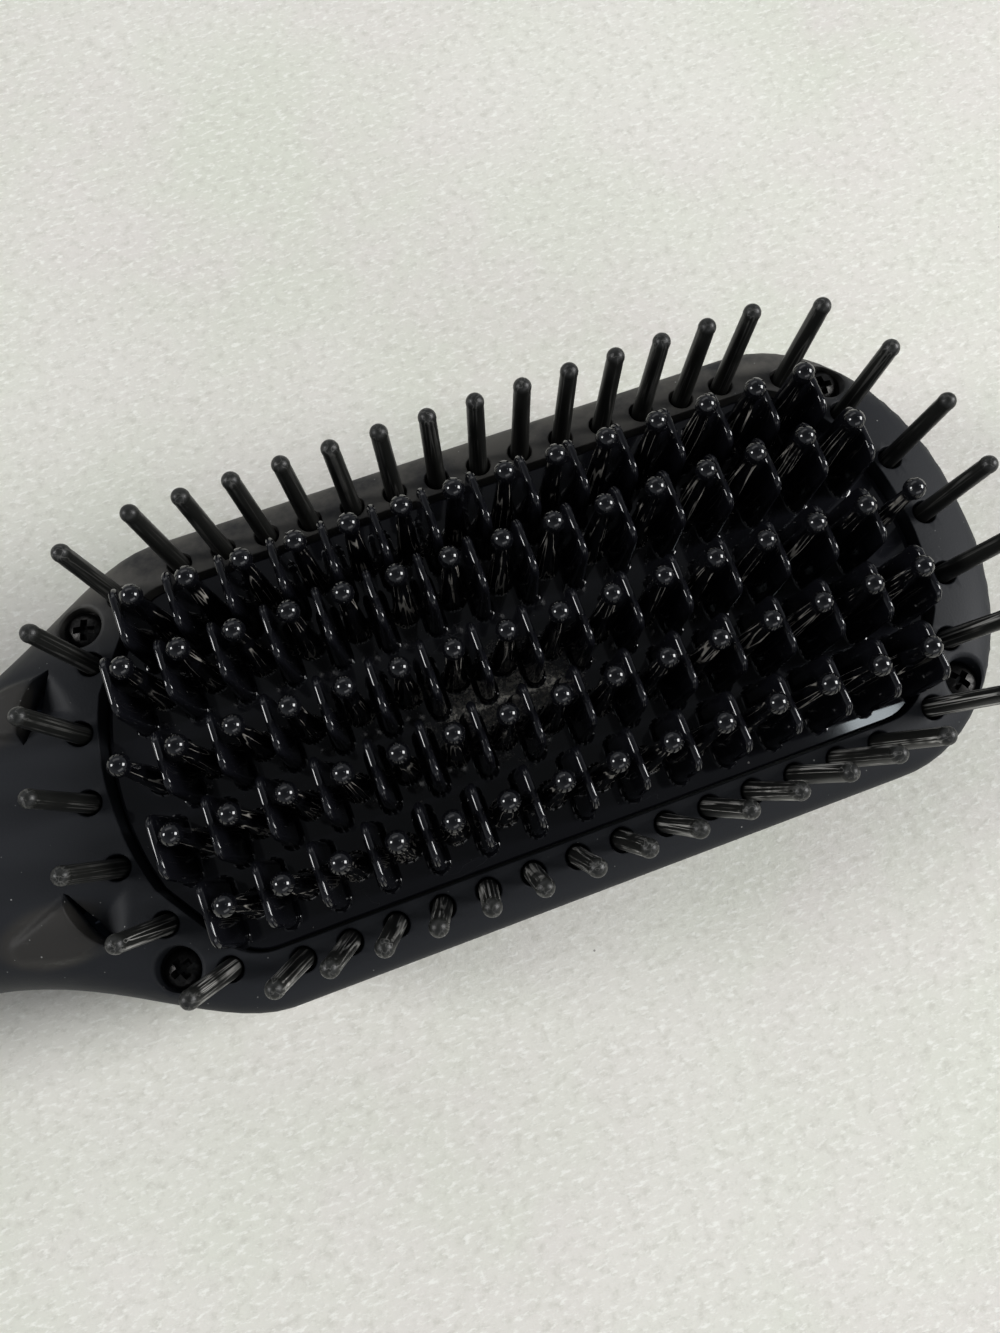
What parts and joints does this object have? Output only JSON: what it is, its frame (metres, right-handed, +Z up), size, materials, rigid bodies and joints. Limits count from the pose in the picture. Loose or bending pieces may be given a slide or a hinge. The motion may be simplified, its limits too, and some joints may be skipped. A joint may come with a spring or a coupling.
{
  "type": "heated straightening brush",
  "caption": "Hand-held heated hair brush: bowed metal plate with rows of fins and ball-tipped pins, ringed by nylon bristles, on a tapered grip with buttons and a cord swivel.",
  "frame": {"origin": "under the middle of the brush's box, on the surface that its back lies on", "axes": "+X along the brush to the tip of the head, +Y across it, +Z up out of the face, the way the bristles point"},
  "size_m": [0.2856, 0.0606, 0.0399],
  "materials": {
    "housing": "matt soft-touch black",
    "coated_metal": "glossy black ceramic coating on cast aluminium",
    "nylon": "matt black heat-proof nylon",
    "ceramic": "fired ceramic",
    "spring_steel": "plain pressed steel",
    "black_steel": "blackened steel",
    "shield": "heat-proof moulding",
    "potting": "dark resin",
    "board": "green solder mask",
    "plunger": "pale moulded plastic",
    "window": "smoked clear plastic",
    "button": "satin black",
    "swivel": "satin black",
    "brass": "plain contact metal"
  },
  "bodies": {
    "case": {"front_housing": "housing", "rear_housing": "housing", "heater_plate": "coated_metal", "bristle_frame": "nylon", "ceramic_heaters": "ceramic", "heater_clamp": "spring_steel", "clamp_screws": "spring_steel", "heat_shield": "shield", "thermistor": "ceramic", "thermal_fuse": "spring_steel", "head_screws": "black_steel", "handle_screws": "black_steel", "ion_emitters": "shield", "ion_generator": "potting", "main_board": "board", "board_screws": "spring_steel", "tact_switches": "potting", "display_module": "potting", "display_window": "window", "end_cap": "housing", "contact_springs": "brass", "contact_block": "potting"},
    "power": {"power_button": "button", "power_plunger": "plunger"},
    "temp_up": {"temp_up_button": "button", "temp_up_plunger": "plunger"},
    "temp_down": {"temp_down_button": "button", "temp_down_plunger": "plunger"},
    "swivel": {"cord_swivel": "swivel", "swivel_washer": "spring_steel", "slip_rings": "brass"}
  },
  "joints": [
    {"name": "power_press", "type": "slide", "parent": "case", "child": "power", "axis": [0, 0, -1], "range_m": [0, 0.0006], "stiffness_N_per_m": 600},
    {"name": "temp_up_press", "type": "slide", "parent": "case", "child": "temp_up", "axis": [0, 0, -1], "range_m": [0, 0.0006], "stiffness_N_per_m": 600},
    {"name": "temp_down_press", "type": "slide", "parent": "case", "child": "temp_down", "axis": [0, 0, -1], "range_m": [0, 0.0006], "stiffness_N_per_m": 600},
    {"name": "cord_swivel_turn", "type": "hinge", "parent": "case", "child": "swivel", "pos_m": [-0.1308, 0, 0.0144], "axis": [1, 0, 0], "continuous": true}
  ]
}
